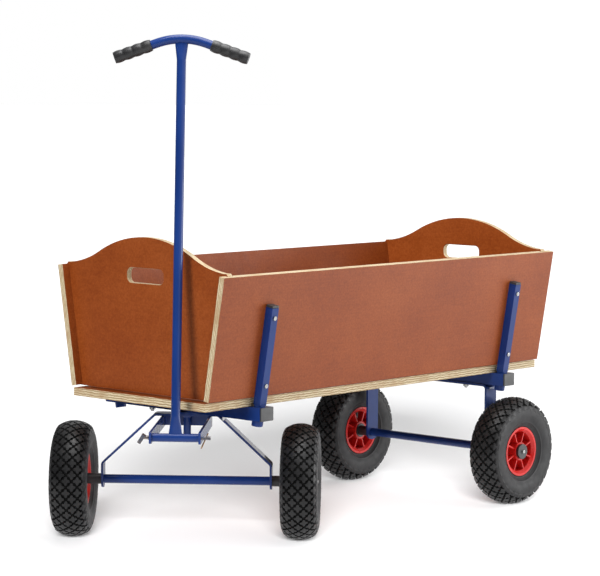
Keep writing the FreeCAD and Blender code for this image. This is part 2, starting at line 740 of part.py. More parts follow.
def make_axle(end, frame):
    """Axle bar, spacers between leg and hub, hub caps and their screws."""
    centre = frame.multiply(at(z=value("sizes.wheel_radius")))
    reach = "derived.axle_half"
    bar = rod(end + "_axle_bar", "sizes.axle_radius", "-" + reach, reach, "x", centre)
    threads, spacers, caps, screws = [], [], [], []
    for number, turn in enumerate((Rotation(), HALF_TURN)):
        here = centre.multiply(at(turn=turn))
        name = "%s_axle_%d" % (end, number)
        screw_start = reach + " - sizes.axle_screw_length"
        threads.append(rod(name + "_thread", "sizes.axle_screw_radius + sizes.weld_clearance",
                           screw_start + " - 1", reach + " + 1", "x", here))
        leg_face = "derived.leg_middle + sizes.bar_thick / 2"
        hub_face = "sizes.track / 2 - sizes.hub_half - sizes.flange_thick - sizes.free_clearance"
        wall = rod(name + "_spacer_wall", "sizes.spacer_radius", leg_face, hub_face, "x", here)
        bore = rod(name + "_spacer_bore", "sizes.axle_radius + sizes.weld_clearance",
                   leg_face + " - 1", hub_face + " + 1", "x", here)
        spacers.append(cut(name + "_spacer", wall, [bore]))
        cap_start = reach
        cap_end = cap_start + " + sizes.hub_cap_thick"
        disc = rod(name + "_cap_disc", "sizes.hub_cap_radius", cap_start, cap_end, "x", here)
        hole = rod(name + "_cap_hole", "sizes.axle_screw_radius + sizes.weld_clearance",
                   cap_start + " - 1", cap_end + " + 1", "x", here)
        caps.append(cut(name + "_cap", disc, [hole]))
        shank = rod(name + "_screw_shank", "sizes.axle_screw_radius",
                    screw_start, cap_end + " + 1", "x", here)
        head = rod(name + "_screw_head", "sizes.axle_screw_head",
                   cap_end, cap_end + " + sizes.axle_screw_tall", "x", here)
        screws.append(fuse(name + "_screw", [shank, head]))
    keep(cut(end + "_axle_cut", bar, threads), end + "_axle")
    keep(group(end + "_spacer_group", spacers), end + "_axle_spacers")
    keep(group(end + "_hub_cap_group", caps), end + "_hub_caps")
    keep(group(end + "_screw_group", screws), end + "_axle_screws")


# ---------------------------------------------------------------- kingpin and turntable

def make_kingpin():
    under = "derived.front_under"
    sleeve_low = under + " - sizes.sleeve_length"
    nut_low = sleeve_low + " - sizes.king_nut_tall"
    top = "derived.deck_top"
    shank = rod("king_shank", "sizes.king_radius", nut_low + " - sizes.bolt_end", top + " + 1", "z", KINGPIN)
    head = rod("king_head", "sizes.king_head_radius", top, top + " + sizes.king_head_tall", "z", KINGPIN)
    keep(fuse("king_bolt_fuse", [shank, head]), "king_bolt")
    body = rod("king_nut_body", "sizes.king_nut_radius", nut_low, sleeve_low, "z", KINGPIN)
    bore = rod("king_nut_bore", "sizes.king_radius + sizes.weld_clearance",
               nut_low + " - 1", sleeve_low + " + 1", "z", KINGPIN)
    keep(cut("king_nut_cut", body, [bore]), "king_nut")
    ring = rod("ring_disc", "sizes.turntable_radius", "derived.front_top", "sizes.beam_underside", "z", BOGIE)
    hole = rod("ring_hole", "sizes.king_radius + sizes.free_clearance",
               "derived.front_top - 1", "sizes.beam_underside + 1", "z", BOGIE)
    keep(cut("ring_cut", ring, [hole]), "turntable_ring")
    tube = rod("sleeve_tube", "sizes.sleeve_radius", sleeve_low, under, "z", BOGIE)
    flare = primitive("Cone", "sleeve_flare", Radius1="sizes.sleeve_radius", Radius2="sizes.sleeve_flare",
                      Height="sizes.flare_tall")
    flare.Placement = BOGIE.multiply(at(z=value(under + " - sizes.flare_tall")))
    bore = rod("sleeve_bore", "sizes.king_radius + sizes.running_clearance",
               sleeve_low + " - 1", under + " + 1", "z", BOGIE)
    keep(cut("sleeve_cut", fuse("sleeve_fuse", [tube, flare]), [bore]), "king_sleeve")


def make_fork():
    """The flat-bar fork that carries the drawbar's hinge."""
    body = new_body("drawbar_fork")
    sketch = sketch_on(body, "XY_Plane", "derived.front_under - sizes.fork_tall")
    inside, out = "sizes.fork_inside / 2", "derived.fork_outside"
    tip, web = "-sizes.fork_reach", "sizes.fork_back"
    back = web + " + sizes.fork_thick"
    outline(sketch, [(inside, tip), (out, tip), (out, back), ("-" + out, back), ("-" + out, tip),
                     ("-" + inside, tip), ("-" + inside, web), (inside, web)])
    base = pad(body, sketch, "sizes.fork_tall")
    level = value("derived.front_under - sizes.fork_tall / 2")
    corners = [Vector(side * value(out), value(back), level) for side in (-1, 1)]
    bend = round_edges(body, base, corners, "sizes.fork_thick + 3")
    insides = [Vector(side * value(inside), value(web), level) for side in (-1, 1)]
    bend = round_edges(body, bend, insides, "3")
    middle = (value(inside) + value(out)) / 2
    tips = [Vector(side * middle, value(tip), level + end * value("sizes.fork_tall / 2"))
            for side in (-1, 1) for end in (-1, 1)]
    round_edges(body, bend, tips, "sizes.fork_round")
    hole = sketch_on(body, "YZ_Plane")
    circle(hole, "-derived.pivot_reach", "derived.pivot_height", "sizes.pin_radius + sizes.pin_clearance")
    bore_both_ways(body, hole, "derived.fork_outside * 3")
    keep(body, "drawbar_fork", BOGIE)


def make_drawbar_pin():
    """Hinge pin with a collar and a slanted pull tab, held by a spring clip through its tail."""
    here = BOGIE.multiply(at(y=-value("derived.pivot_reach"), z=value("derived.pivot_height")))
    out = "derived.fork_outside"
    end = out + " + sizes.pin_tail"
    clip_place = out + " + sizes.pin_tail / 2"
    shank = rod("pin_shank", "sizes.pin_radius", "-" + out + " - sizes.tab_stand", end, "x", here)
    collar = rod("pin_collar", "sizes.pin_collar", "-" + out + " - sizes.collar_thick", "-" + out, "x", here)
    tab_place = here.multiply(at(x=-value(out + " + sizes.tab_stand"), z=-value("sizes.tab_drop"),
                                 turn=Rotation(Y_AXIS, value("sizes.tab_lean"))))
    tab = block("pin_tab", ("-sizes.tab_thick / 2", "-sizes.tab_wide / 2", "-sizes.tab_tall / 2"),
                ("sizes.tab_thick / 2", "sizes.tab_wide / 2", "sizes.tab_tall / 2"), tab_place)
    clip_frame = here.multiply(at(x=value(clip_place), turn=Rotation(Y_AXIS, value("sizes.clip_lean"))))
    hole = rod("pin_clip_hole", "sizes.clip_wire + sizes.weld_clearance", "-sizes.pin_radius - 2",
               "sizes.pin_radius + 2", "z", clip_frame)
    keep(cut("pin_cut", fuse("pin_fuse", [shank, collar, tab]), [hole]), "drawbar_pin")

    leg, bow, wire = value("sizes.clip_leg"), value("sizes.clip_bow"), value("sizes.clip_wire")
    pin = value("sizes.pin_radius")
    hug = pin + wire + value("sizes.weld_clearance")
    start = Vector(0, 0, pin + 6)
    low = Vector(0, 0, -leg)
    turn_back = Vector(0, 2 * bow, -leg)
    waist = Vector(0, hug, -pin)
    path = Part.Wire([
        Part.LineSegment(start, low).toShape(),
        Part.Arc(low, Vector(0, bow, -leg - bow), turn_back).toShape(),
        Part.LineSegment(turn_back, waist).toShape(),
        Part.LineSegment(waist, Vector(0, hug, pin)).toShape(),
        Part.LineSegment(Vector(0, hug, pin), Vector(0, hug + 4, pin + 6)).toShape()])
    section = Part.Wire([Part.Circle(start, Z_AXIS, wire).toShape()])
    clip = doc.addObject("Part::Feature", "clip_wire_sweep")
    clip.Shape = path.makePipeShell([section], True, False, 2)
    keep(clip, "pin_clip", clip_frame)


# ---------------------------------------------------------------- drawbar

def ellipse_wire(half_x, half_y, height):
    if abs(half_x - half_y) < 1e-6:
        return Part.Wire([Part.Circle(Vector(0, 0, height), Z_AXIS, half_x).toShape()])
    curve = Part.Ellipse(Vector(0, 0, height), half_x, half_y)
    return Part.Wire([curve.toShape()])


def flattened_tube(foot, top, shrink):
    """The upright: a round tube whose two ends are pressed flat."""
    radius = value("sizes.tube_radius") - shrink
    flat_x, flat_y = value("sizes.flat_half") - shrink, value("sizes.flat_thick / 2") - shrink
    length = value("sizes.flat_length")
    low = Part.makeLoft([ellipse_wire(flat_x, flat_y, foot),
                         ellipse_wire(radius, radius, foot + length)], True)
    middle = Part.makeCylinder(radius, top - foot - 2 * length, Vector(0, 0, foot + length))
    high = Part.makeLoft([ellipse_wire(radius, radius, top - length),
                          ellipse_wire(flat_x, flat_y, top)], True)
    return low.fuse([middle, high]).removeSplitter()


def bent_rod(radius, reach):
    """The handlebar's rod: a bend in the middle and a straight, drooping run to each side.
    Its middle lies on the drawbar's axis, and reach is measured along it from there."""
    droop = math.radians(value("sizes.handle_droop"))
    bend = value("sizes.handle_bend")
    height = value("sizes.drawbar_length")
    half = bend * math.sin(droop)
    drop = bend * (1 - math.cos(droop))
    run = reach - bend * droop
    ends = [Vector(s * (half + run * math.cos(droop)), 0, height - drop - run * math.sin(droop))
            for s in (-1, 1)]
    knees = [Vector(s * half, 0, height - drop) for s in (-1, 1)]
    path = Part.Wire([
        Part.LineSegment(ends[0], knees[0]).toShape(),
        Part.Arc(knees[0], Vector(0, 0, height), knees[1]).toShape(),
        Part.LineSegment(knees[1], ends[1]).toShape()])
    section = Part.Wire([Part.Circle(ends[0], knees[0] - ends[0], radius).toShape()])
    return path.makePipeShell([section], True, False)


def make_drawbar():
    length = "sizes.fork_inside / 2 - sizes.free_clearance"
    wall = rod("hinge_wall", "sizes.hinge_radius", "-(%s)" % length, length, "x", DRAWBAR)
    bore = rod("hinge_bore", "sizes.pin_radius + sizes.running_clearance",
               "-(%s) - 1" % length, length + " + 1", "x", DRAWBAR)
    keep(cut("hinge_cut", wall, [bore]), "drawbar_hinge_tube")

    radius, thick = value("sizes.tube_radius"), value("sizes.tube_wall")
    touch = value("sizes.weld_clearance") / 2
    bar_reach = value("derived.grip_out") - value("sizes.grip_end")
    top = value("sizes.drawbar_length") - radius + 3
    foot = value("sizes.hinge_radius") - 3
    upright = flattened_tube(foot, top, 0).cut(flattened_tube(foot, top, thick))
    seat = Part.makeCylinder(value("sizes.hinge_radius") + touch, 100, Vector(-50, 0, 0), X_AXIS)
    upright = upright.cut(seat).cut(bent_rod(radius + touch, 60))
    solid = max(upright.Solids, key=lambda s: s.Volume)
    tube = doc.addObject("Part::Feature", "upright_tube")
    tube.Shape = solid
    keep(tube, "drawbar_tube", DRAWBAR)

    bar = doc.addObject("Part::Feature", "handlebar_tube")
    bar.Shape = bent_rod(radius, bar_reach).cut(bent_rod(radius - thick, bar_reach + 5))
    keep(bar, "handlebar", DRAWBAR)


def make_grip(name, side):
    """A rubber grip with four finger bulges and a closed end."""
    body = new_body(name)
    sketch = sketch_on(body, "XY_Plane")
    start, end = "sizes.grip_start", "derived.grip_out"
    bore = "sizes.tube_radius + sizes.weld_clearance"
    inner_end = end + " - sizes.grip_end + 0.1"
    corners = [(inner_end, "0"), (inner_end, bore), (start, bore)]
    bulges = 4
    corners.append((start, "sizes.grip_waist"))
    for number in range(bulges):
        first = "%s + sizes.grip_length * %g / %d" % (start, number + 0.06, bulges)
        last = "%s + sizes.grip_length * %g / %d" % (start, number + 0.94, bulges)
        rise = "sizes.grip_radius - sizes.grip_waist"
        chord = "(sizes.grip_length * 0.88 / %d)" % bulges
        arc = "(%s ^ 2 / 4 + (%s) ^ 2) / (2 * (%s))" % (chord, rise, rise)
        corners.append((first, "sizes.grip_waist", arc, -1))
        corners.append((last, "sizes.grip_waist"))
    corners.append((end, "sizes.grip_waist"))
    corners.append((end, "0"))
    outline(sketch, corners)
    turned(body, sketch)
    droop = value("sizes.handle_droop")
    bend = value("sizes.handle_bend")
    lean = math.radians(droop)
    knee = Vector(bend * math.sin(lean), 0, value("sizes.drawbar_length") - bend * (1 - math.cos(lean)))
    along = Vector(math.cos(lean), 0, -math.sin(lean))
    local = Placement(knee - along * (bend * lean), Rotation(Y_AXIS, droop))
    if side < 0:
        local = at(turn=HALF_TURN).multiply(local)
    keep(body, name, DRAWBAR.multiply(local))


# ---------------------------------------------------------------- wheels

def section_arcs(inset):
    """Corners of the tyre's section from bead to bead over the crown, moved in by inset."""
    bead, bead_x = "(sizes.bead_radius + %s)" % inset, "(sizes.bead_half - %s)" % inset
    shoulder, shoulder_x = "(sizes.shoulder_radius - %s)" % inset, "(sizes.shoulder_half - %s)" % inset
    bulge = "(sizes.tyre_half - %s)" % inset
    crown = "(sizes.wheel_radius - %s)" % inset
    # an arc through bead, widest point and shoulder is close to one of this radius
    rise = "(%s - (%s + %s) / 2)" % (bulge, bead_x, shoulder_x)
    chord = "sqrt((%s - %s) ^ 2 + (%s - %s) ^ 2)" % (shoulder, bead, shoulder_x, bead_x)
    side_arc = "((%s / 2) ^ 2 + %s ^ 2) / (2 * %s)" % (chord, rise, rise)
    top_rise = "(%s - %s)" % (crown, shoulder)
    top_arc = "(%s ^ 2 + %s ^ 2) / (2 * %s)" % (shoulder_x, top_rise, top_rise)
    return [(bead_x, bead, side_arc, 1), (shoulder_x, shoulder, top_arc, 1),
            ("-" + shoulder_x, shoulder, side_arc, 1), ("-" + bead_x, bead)]


def make_tyre(name, place):
    body = new_body(name)
    sketch = sketch_on(body, "XY_Plane")
    outline(sketch, section_arcs("0"))
    turned(body, sketch)
    inner = sketch_on(body, "XY_Plane")
    hollow = section_arcs("sizes.tyre_wall")
    lip = "sizes.bead_radius - 1"
    narrow = "(sizes.bead_half - sizes.tyre_wall)"
    outline(inner, hollow[:-1] + [("-" + narrow, "sizes.bead_radius + sizes.tyre_wall"),
                                  ("-" + narrow, lip), (narrow, lip)])
    groove = body.newObject("PartDesign::Groove", name + "_hollow")
    groove.Profile = inner
    groove.ReferenceAxis = (inner, ["H_Axis"])
    groove.Angle = 360
    doc.recompute()
    keep(body, name, place)


def make_inner_tube(name, place):
    """The air tube, a closed ring, with its valve stem through the rim."""
    body = new_body(name)
    sketch = sketch_on(body, "XY_Plane")
    inset = "(sizes.tyre_wall + sizes.free_clearance)"
    outline(sketch, section_arcs(inset))
    turned(body, sketch)
    air = sketch_on(body, "XY_Plane")
    outline(air, section_arcs("(sizes.tyre_wall + sizes.free_clearance + sizes.tube_skin)"))
    groove = body.newObject("PartDesign::Groove", name + "_air")
    groove.Profile = air
    groove.ReferenceAxis = (air, ["H_Axis"])
    groove.Angle = 360
    stand = at(x=-value("sizes.valve_place"))
    stem = rod(name + "_stem", "sizes.valve_radius", "sizes.valve_inner",
               "sizes.bead_radius + sizes.tyre_wall + sizes.tube_skin", "z", stand)
    bore = rod(name + "_stem_bore", "sizes.valve_bore", "sizes.valve_inner - 1",
               "sizes.bead_radius + sizes.tyre_wall + 3 * sizes.tube_skin", "z", stand)
    keep(cut(name + "_cut", fuse(name + "_fuse", [body, stem]), [bore]), name, place)


def make_rim(name, place):
    """A moulded rim: barrel with lips, hub, web and ribs on both sides."""
    body = new_body(name)
    sketch = sketch_on(body, "XY_Plane")
    half, lip, face = "sizes.rim_half", "sizes.rim_radius", "sizes.rim_face"
    seat = "(sizes.bead_radius - sizes.free_clearance)"
    edge = "(sizes.rim_half - sizes.rim_lip / 2)"
    web, hub, hub_half, bore = "sizes.web_half", "sizes.hub_radius", "sizes.hub_half", "sizes.hub_bore"
    well = "(sizes.rim_face + sizes.rim_wall)"
    seat_in = "(sizes.bead_half - sizes.tyre_wall - 1)"
    dish, dish_edge = "(sizes.rim_half - sizes.dish_deep)", "sizes.dish_edge"
    outline(sketch, [
        ("-" + hub_half, bore), (hub_half, bore), (hub_half, hub), (web, hub), (web, face),
        (dish, face), (half, dish_edge),
        (half, lip), (edge, lip), (edge, seat), (seat_in, seat), (seat_in, well),
        ("-" + seat_in, well), ("-" + seat_in, seat), ("-" + edge, seat), ("-" + edge, lip),
        ("-" + half, lip), ("-" + half, dish_edge), ("-" + dish, face),
        ("-" + web, face), ("-" + web, hub), ("-" + hub_half, hub)])
    turned(body, sketch)
    rib = sketch_on(body, "XY_Plane")
    rib.AttachmentOffset = at(turn=Rotation(X_AXIS, value("sizes.rib_turn")))
    depth = "(%s - sizes.rib_recess)" % hub_half
    rectangle(rib, "-" + depth, hub + " - 1", depth, face + " + 1.5")
    spoke = pad(body, rib, "sizes.rib_thick", both_ways=True)
    pattern = body.newObject("PartDesign::PolarPattern", name + "_ribs")
    pattern.Originals = [spoke]
    pattern.Axis = (rib, ["H_Axis"])
    pattern.Angle = 360
    pattern.setExpression("Occurrences", "sizes.rib_count")
    body.Tip = pattern
    doc.recompute()
    hole = sketch_on(body, "XY_Plane")
    circle(hole, "-sizes.valve_place", "0", "sizes.valve_radius + sizes.free_clearance")
    valve = body.newObject("PartDesign::Pocket", name + "_valve_hole")
    valve.Profile = hole
    valve.setExpression("Length", "sizes.rim_radius")
    valve.Reversed = True
    doc.recompute()
    keep(body, name, place)


def make_bushes(name, place):
    """Two flanged plastic bushes pressed in the hub."""
    bushes = []
    for number, turn in enumerate((Rotation(), HALF_TURN)):
        here = place.multiply(at(turn=turn))
        part = "%s_%d" % (name, number)
        face, edge = "sizes.hub_half", "sizes.hub_half + sizes.flange_thick"
        barrel = rod(part + "_barrel", "sizes.hub_bore - sizes.running_clearance",
                     "sizes.web_half", edge, "x", here)
        flange = rod(part + "_flange", "sizes.flange_radius", face, edge, "x", here)
        bore = rod(part + "_bore", "sizes.axle_radius + sizes.running_clearance",
                   "0", edge + " + 1", "x", here)
        bushes.append(cut(part, fuse(part + "_fuse", [barrel, flange]), [bore]))
    keep(group(name + "_group", bushes), name)


def make_wheel(name, frame, side):
    turn = Rotation() if side > 0 else HALF_TURN
    place = frame.multiply(at(side * value("sizes.track / 2"), 0, value("sizes.wheel_radius"), turn))
    make_tyre(name + "_tyre", place)
    make_inner_tube(name + "_inner_tube", place)
    make_rim(name + "_rim", place)
    make_bushes(name + "_bushes", place)


# ---------------------------------------------------------------- assembly

make_deck()
for side_name in SIDES:
    make_side_panel(side_name)
    make_stakes(side_name)
make_board("front_board", -1)
make_board("rear_board", 1)
make_sockets()
make_beam("front_beam", KINGPIN, kingpin=True)
make_beam("rear_beam", REAR, kingpin=False)
make_beam_caps()
make_deck_bolts()
make_rear_axle_frame()
make_front_axle_frame()
make_axle("rear", REAR_AXLE)
make_axle("front", BOGIE)
make_kingpin()
make_fork()
make_drawbar_pin()
make_drawbar()
make_grip("left_grip", 1)
make_grip("right_grip", -1)
for end_name, end_frame in (("front", BOGIE), ("rear", REAR_AXLE)):
    make_wheel(end_name + "_left", end_frame, 1)
    make_wheel(end_name + "_right", end_frame, -1)

doc.recompute()
for item in doc.Objects:
    if "Invalid" in item.State or "Error" in item.State:
        raise RuntimeError("%s is %s" % (item.Label, item.State))
for piece in pieces:
    if piece.Shape.isNull() or not piece.Shape.isValid() or not piece.Shape.Solids:
        raise RuntimeError(piece.Label + " has no valid solid")
for piece in pieces:
    piece.Shape.exportStep("parts/%s.step" % piece.Label)
print(len(pieces), "sub-parts written")
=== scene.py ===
import bpy
import bmesh
import json
import math
from mathutils import Matrix, Vector


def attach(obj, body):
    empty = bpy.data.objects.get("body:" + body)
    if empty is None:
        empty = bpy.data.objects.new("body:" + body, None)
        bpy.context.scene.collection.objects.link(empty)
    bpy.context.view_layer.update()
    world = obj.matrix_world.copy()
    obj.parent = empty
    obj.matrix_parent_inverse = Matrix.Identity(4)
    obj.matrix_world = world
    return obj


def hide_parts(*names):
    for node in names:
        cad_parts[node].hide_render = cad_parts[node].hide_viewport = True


# A hand wagon: plywood box, blue powder-coated underframe, steered bogie, drawbar, four air tyres.
# The front looks along -y and the left side is at +x. Lengths are in metres.

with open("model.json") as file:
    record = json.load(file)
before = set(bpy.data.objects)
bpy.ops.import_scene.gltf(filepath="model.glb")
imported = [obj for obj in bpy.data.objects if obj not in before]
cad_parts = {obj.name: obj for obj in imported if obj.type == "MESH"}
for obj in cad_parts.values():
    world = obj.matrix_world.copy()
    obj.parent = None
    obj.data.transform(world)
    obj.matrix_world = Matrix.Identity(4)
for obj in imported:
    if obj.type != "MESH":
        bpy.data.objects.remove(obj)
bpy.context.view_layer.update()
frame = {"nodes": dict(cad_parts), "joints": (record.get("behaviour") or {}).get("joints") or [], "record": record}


nodes = frame["nodes"]
bodies = frame["record"]["behaviour"]["bodies"]
body_of_node = {node: body for body, members in bodies.items() for node in members}
joints = {joint["name"]: joint for joint in frame["joints"]}


# ---------------------------------------------------------------- finishes

class Patterns:
    """Named patterns in the node tree of a material or of the world."""

    def __init__(self, tree):
        self.tree = tree
        self.coordinates = tree.nodes.new("ShaderNodeTexCoord")

    def node(self, kind, inputs=(), **settings):
        made = self.tree.nodes.new("ShaderNode" + kind)
        for name, setting in settings.items():
            setattr(made, name, setting)
        for socket, source in dict(inputs).items():
            if isinstance(source, bpy.types.NodeSocket):
                self.tree.links.new(source, made.inputs[socket])
            else:
                made.inputs[socket].default_value = source
        return made

    def math(self, operation, *values):
        return self.node("Math", enumerate(values), operation=operation).outputs[0]

    def weighted(self, *pairs):
        """Adds up patterns, each times its weight."""
        total, *others = [self.math("MULTIPLY", source, weight) for source, weight in pairs]
        for part in others:
            total = self.math("ADD", total, part)
        return total

    def along(self, direction, output="Object"):
        """How far a point, or how much of the normal, lies along a direction."""
        inputs = {0: self.coordinates.outputs[output], 1: direction}
        return self.node("VectorMath", inputs, operation="DOT_PRODUCT").outputs["Value"]

    def noise(self, scale, detail, stretch=(1, 1, 1), rough=0.5):
        here = self.coordinates.outputs["Object"]
        place = self.node("Mapping", {"Vector": here, "Scale": stretch}).outputs[0]
        inputs = {"Vector": place, "Scale": scale, "Detail": detail, "Roughness": rough}
        return self.node("TexNoise", inputs).outputs["Fac"]

    def span(self, source, low, high, to_low, to_high):
        """Maps a pattern's range to another."""
        inputs = {"Value": source, "From Min": low, "From Max": high,
                  "To Min": to_low, "To Max": to_high}
        return self.node("MapRange", inputs).outputs["Result"]

    def mix(self, factor, first, second):
        """A mix of two colours, each a pattern or three numbers."""
        pair = [c if isinstance(c, bpy.types.NodeSocket) else (*c, 1) for c in (first, second)]
        inputs = {0: factor, 6: pair[0], 7: pair[1]}
        return self.node("Mix", inputs, data_type="RGBA").outputs[2]

    def ramp(self, source, stops):
        made = self.node("ValToRGB", {"Fac": source})
        while len(made.color_ramp.elements) < len(stops):
            made.color_ramp.elements.new(0.5)
        for element, (position, colour) in zip(made.color_ramp.elements, stops):
            element.position = position
            element.color = (*colour, 1)
        return made.outputs["Color"]


class Finish(Patterns):
    """A principled material. Its constants are set on the shader's own sockets."""

    def __init__(self, name, **constants):
        self.material = bpy.data.materials.new(name)
        self.material.use_nodes = True
        super().__init__(self.material.node_tree)
        self.shader = self.tree.nodes["Principled BSDF"]
        for socket, number in constants.items():
            self.shader.inputs[socket.replace("_", " ")].default_value = number

    def feed(self, socket, source):
        self.tree.links.new(source, self.shader.inputs[socket])

    def colour(self, source):
        self.feed("Base Color", source)

    def roughness(self, source):
        self.feed("Roughness", source)

    def bump(self, height, distance, strength):
        inputs = {"Height": height, "Distance": distance, "Strength": strength}
        self.feed("Normal", self.node("Bump", inputs).outputs[0])


def powder_coat():
    """Blue powder coat: a tinted ground under a clear gloss, with a fine orange peel."""
    f = Finish("blue_powder_coat", IOR=1.5, Specular_IOR_Level=0.15, Coat_Weight=0.75,
               Coat_Roughness=0.06, Coat_IOR=1.28)
    f.colour(f.ramp(f.noise(7, 4), [(0.35, (0.006, 0.025, 0.130)), (0.65, (0.009, 0.034, 0.165))]))
    f.roughness(f.span(f.noise(60, 4), 0.3, 0.7, 0.40, 0.52))
    f.bump(f.noise(900, 2), 0.00006, 0.4)
    return f.material


VENEERS = 7     # in each board


def plywood(name, across, thick, middle, grain):
    """Film-faced plywood. across is the board's normal, middle its mid-plane along that normal."""
    f = Finish(name, IOR=1.5, Specular_IOR_Level=0.24)
    facing = f.math("ABSOLUTE", f.along(across, "Normal"))
    bare = f.span(facing, 0.62, 0.70, 1.0, 0.0)
    # the film: mottled, with fine streaks along the veneer under it
    streaks = f.noise(1, 4, [9 if g else 300 for g in grain], 0.6)
    mottle = f.noise(5, 6, rough=0.65)
    weave = f.noise(240, 2)
    speck = f.noise(900, 2)
    tone = f.weighted((streaks, 0.16), (mottle, 0.42), (weave, 0.42))
    film = f.ramp(tone, [(0.36, (0.180, 0.034, 0.006)), (0.5, (0.230, 0.050, 0.009)),
                         (0.64, (0.278, 0.068, 0.015))])
    # the bare edge: veneers in turn pale and darker, their seams torn a little by the saw
    ply = thick / VENEERS
    wander = f.math("MULTIPLY", f.noise(45, 5, rough=0.65), ply * 3.6)
    depth = f.math("ADD", f.math("SUBTRACT", f.along(across), middle - thick / 2), wander)
    turn = f.math("PINGPONG", f.math("DIVIDE", depth, ply), 1.0)
    fibre = f.noise(500, 3)
    veneers = f.ramp(turn, [(0.20, (0.235, 0.155, 0.075)), (0.45, (0.50, 0.41, 0.26)),
                            (0.85, (0.66, 0.58, 0.41))])
    edge = f.mix(f.span(fibre, 0.35, 0.75, 0.0, 0.45), veneers, (0.42, 0.30, 0.16))
    # brown glue and knots
    blotches = f.span(f.noise(32, 5), 0.46, 0.66, 0.0, 0.6)
    edge = f.mix(blotches, edge, (0.36, 0.23, 0.12))
    f.colour(f.mix(bare, film, edge))
    film_rough = f.span(f.noise(45, 4), 0.3, 0.7, 0.36, 0.46)
    f.roughness(f.math("ADD", film_rough, f.math("MULTIPLY", bare, 0.28)))
    grainy = f.weighted((streaks, 0.5), (speck, 0.5))
    torn = f.math("ADD", f.math("MULTIPLY", turn, 0.5), fibre)
    f.bump(f.weighted((grainy, 0.35), (torn, bare)), 0.00025, 0.6)
    return f.material


def moulded(name, dark, light, rough, grain=700, depth=0.00012, **constants):
    """Moulded plastic or rubber: a slow change of tint, a changing gloss and a fine grain."""
    f = Finish(name, **constants)
    f.colour(f.ramp(f.noise(25, 4), [(0.35, dark), (0.68, light)]))
    f.roughness(f.span(f.noise(90, 4), 0.3, 0.7, *rough))
    f.bump(f.noise(grain, 3), depth, 0.6)
    return f.material


def metal(name, dark, light, ends, patches, fine, rough):
    """Bare or plated metal: patches of tint between two ends, a fine change of gloss and pits."""
    f = Finish(name, Metallic=1.0)
    f.colour(f.ramp(f.noise(patches, 4), list(zip(ends, (dark, light)))))
    f.roughness(f.span(f.noise(fine, 3), 0.3, 0.7, *rough))
    f.bump(f.noise(1500, 2), 0.00006, 0.5)
    return f.material


BLUE = powder_coat()
ZINC = metal("bright_zinc", (0.30, 0.30, 0.29), (0.56, 0.57, 0.57), (0.3, 0.7), 180, 400,
             (0.14, 0.30))
BRASS = metal("yellow_brass", (0.12, 0.06, 0.03), (0.42, 0.24, 0.11), (0.3, 0.7), 150, 500,
              (0.14, 0.30))
STEEL = metal("dull_steel", (0.06, 0.08, 0.13), (0.24, 0.21, 0.19), (0.35, 0.65), 120, 400,
              (0.18, 0.34))
BLACK = moulded("black_plastic", (0.020, 0.021, 0.022), (0.034, 0.035, 0.037), (0.38, 0.52))
GRIP = moulded("grip_rubber", (0.010, 0.010, 0.011), (0.020, 0.020, 0.021), (0.40, 0.52),
               1200, 0.00008)
TYRE = moulded("tyre_sidewall_rubber", (0.012, 0.012, 0.013), (0.023, 0.023, 0.024), (0.48, 0.62),
               600, 0.0002, Specular_IOR_Level=0.3)
TREAD = moulded("tyre_tread_rubber", (0.008, 0.008, 0.0085), (0.015, 0.015, 0.0155), (0.36, 0.50),
                600, 0.0002, Specular_IOR_Level=0.32)
# painted shade: the tyre rubber made darker and duller for the skin between the tread blocks
GROOVE_SHADE = moulded("tyre_groove_painted_shade", (0.004, 0.004, 0.004), (0.008, 0.008, 0.008), (0.6, 0.8),
                 Specular_IOR_Level=0.1)
TUBE = moulded("butyl_tube", (0.012, 0.012, 0.012), (0.022, 0.022, 0.022), (0.45, 0.6))
RED = moulded("red_rim_plastic", (0.50, 0.014, 0.012), (0.60, 0.020, 0.016), (0.26, 0.38),
              500, 0.0001, Specular_IOR_Level=0.35)
NYLON = moulded("nylon_bush", (0.020, 0.020, 0.021), (0.036, 0.036, 0.037), (0.35, 0.5))


# ---------------------------------------------------------------- making pieces

# radii of softened edges
BOARD_EDGE = 0.0009
STEEL_EDGE = 0.0008
CAP_EDGE = 0.0012
RIM_EDGE = 0.0008
SMALL_EDGE = 0.0006
HAND_SLOT_EDGE = 0.0024

# angles between faces
FLAT = math.radians(0.6)
SHARP = math.radians(30)
SQUARE = math.radians(50)


def finish_piece(bm, name, material, body, replaces=(), smooth=True):
    mesh = bpy.data.meshes.new(name)
    bm.to_mesh(mesh)
    bm.free()
    mesh.materials.append(material)
    for face in mesh.polygons:
        face.use_smooth = smooth
    piece = bpy.data.objects.new(name, mesh)
    bpy.context.scene.collection.objects.link(piece)
    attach(piece, body)
    if replaces:
        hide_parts(*replaces)
    return piece


def soften(piece, width):
    """Rounds the sharp edges of a finished piece."""
    bevel = piece.modifiers.new("eased", "BEVEL")
    bevel.width = width
    bevel.segments = 2
    bevel.limit_method = "ANGLE"
    bevel.angle_limit = SHARP
    bevel.harden_normals = True
    weighted = piece.modifiers.new("even_shading", "WEIGHTED_NORMAL")
    weighted.keep_sharp = True
    weighted.weight = 100


def eased(node, width, material, is_rounded=None):
    """The CAD node's own shape with softened edges, and rounder ones where is_rounded says so."""
    bm = bmesh.new()
    bm.from_mesh(nodes[node].data)
    bmesh.ops.remove_doubles(bm, verts=bm.verts, dist=2e-6)
    bmesh.ops.dissolve_limit(bm, angle_limit=FLAT, use_dissolve_boundaries=False,
                             verts=bm.verts, edges=bm.edges, delimit={"NORMAL"})
    if is_rounded:
        picked = [edge for edge in bm.edges if edge.calc_face_angle(0) > SQUARE
                  and all(is_rounded(vert.co) for vert in edge.verts)]
        bmesh.ops.bevel(bm, geom=picked, offset=HAND_SLOT_EDGE, segments=3, profile=0.5,
                        material=-1, affect="EDGES")
    soften(finish_piece(bm, node + "_eased", material, body_of_node[node], [node]), width)


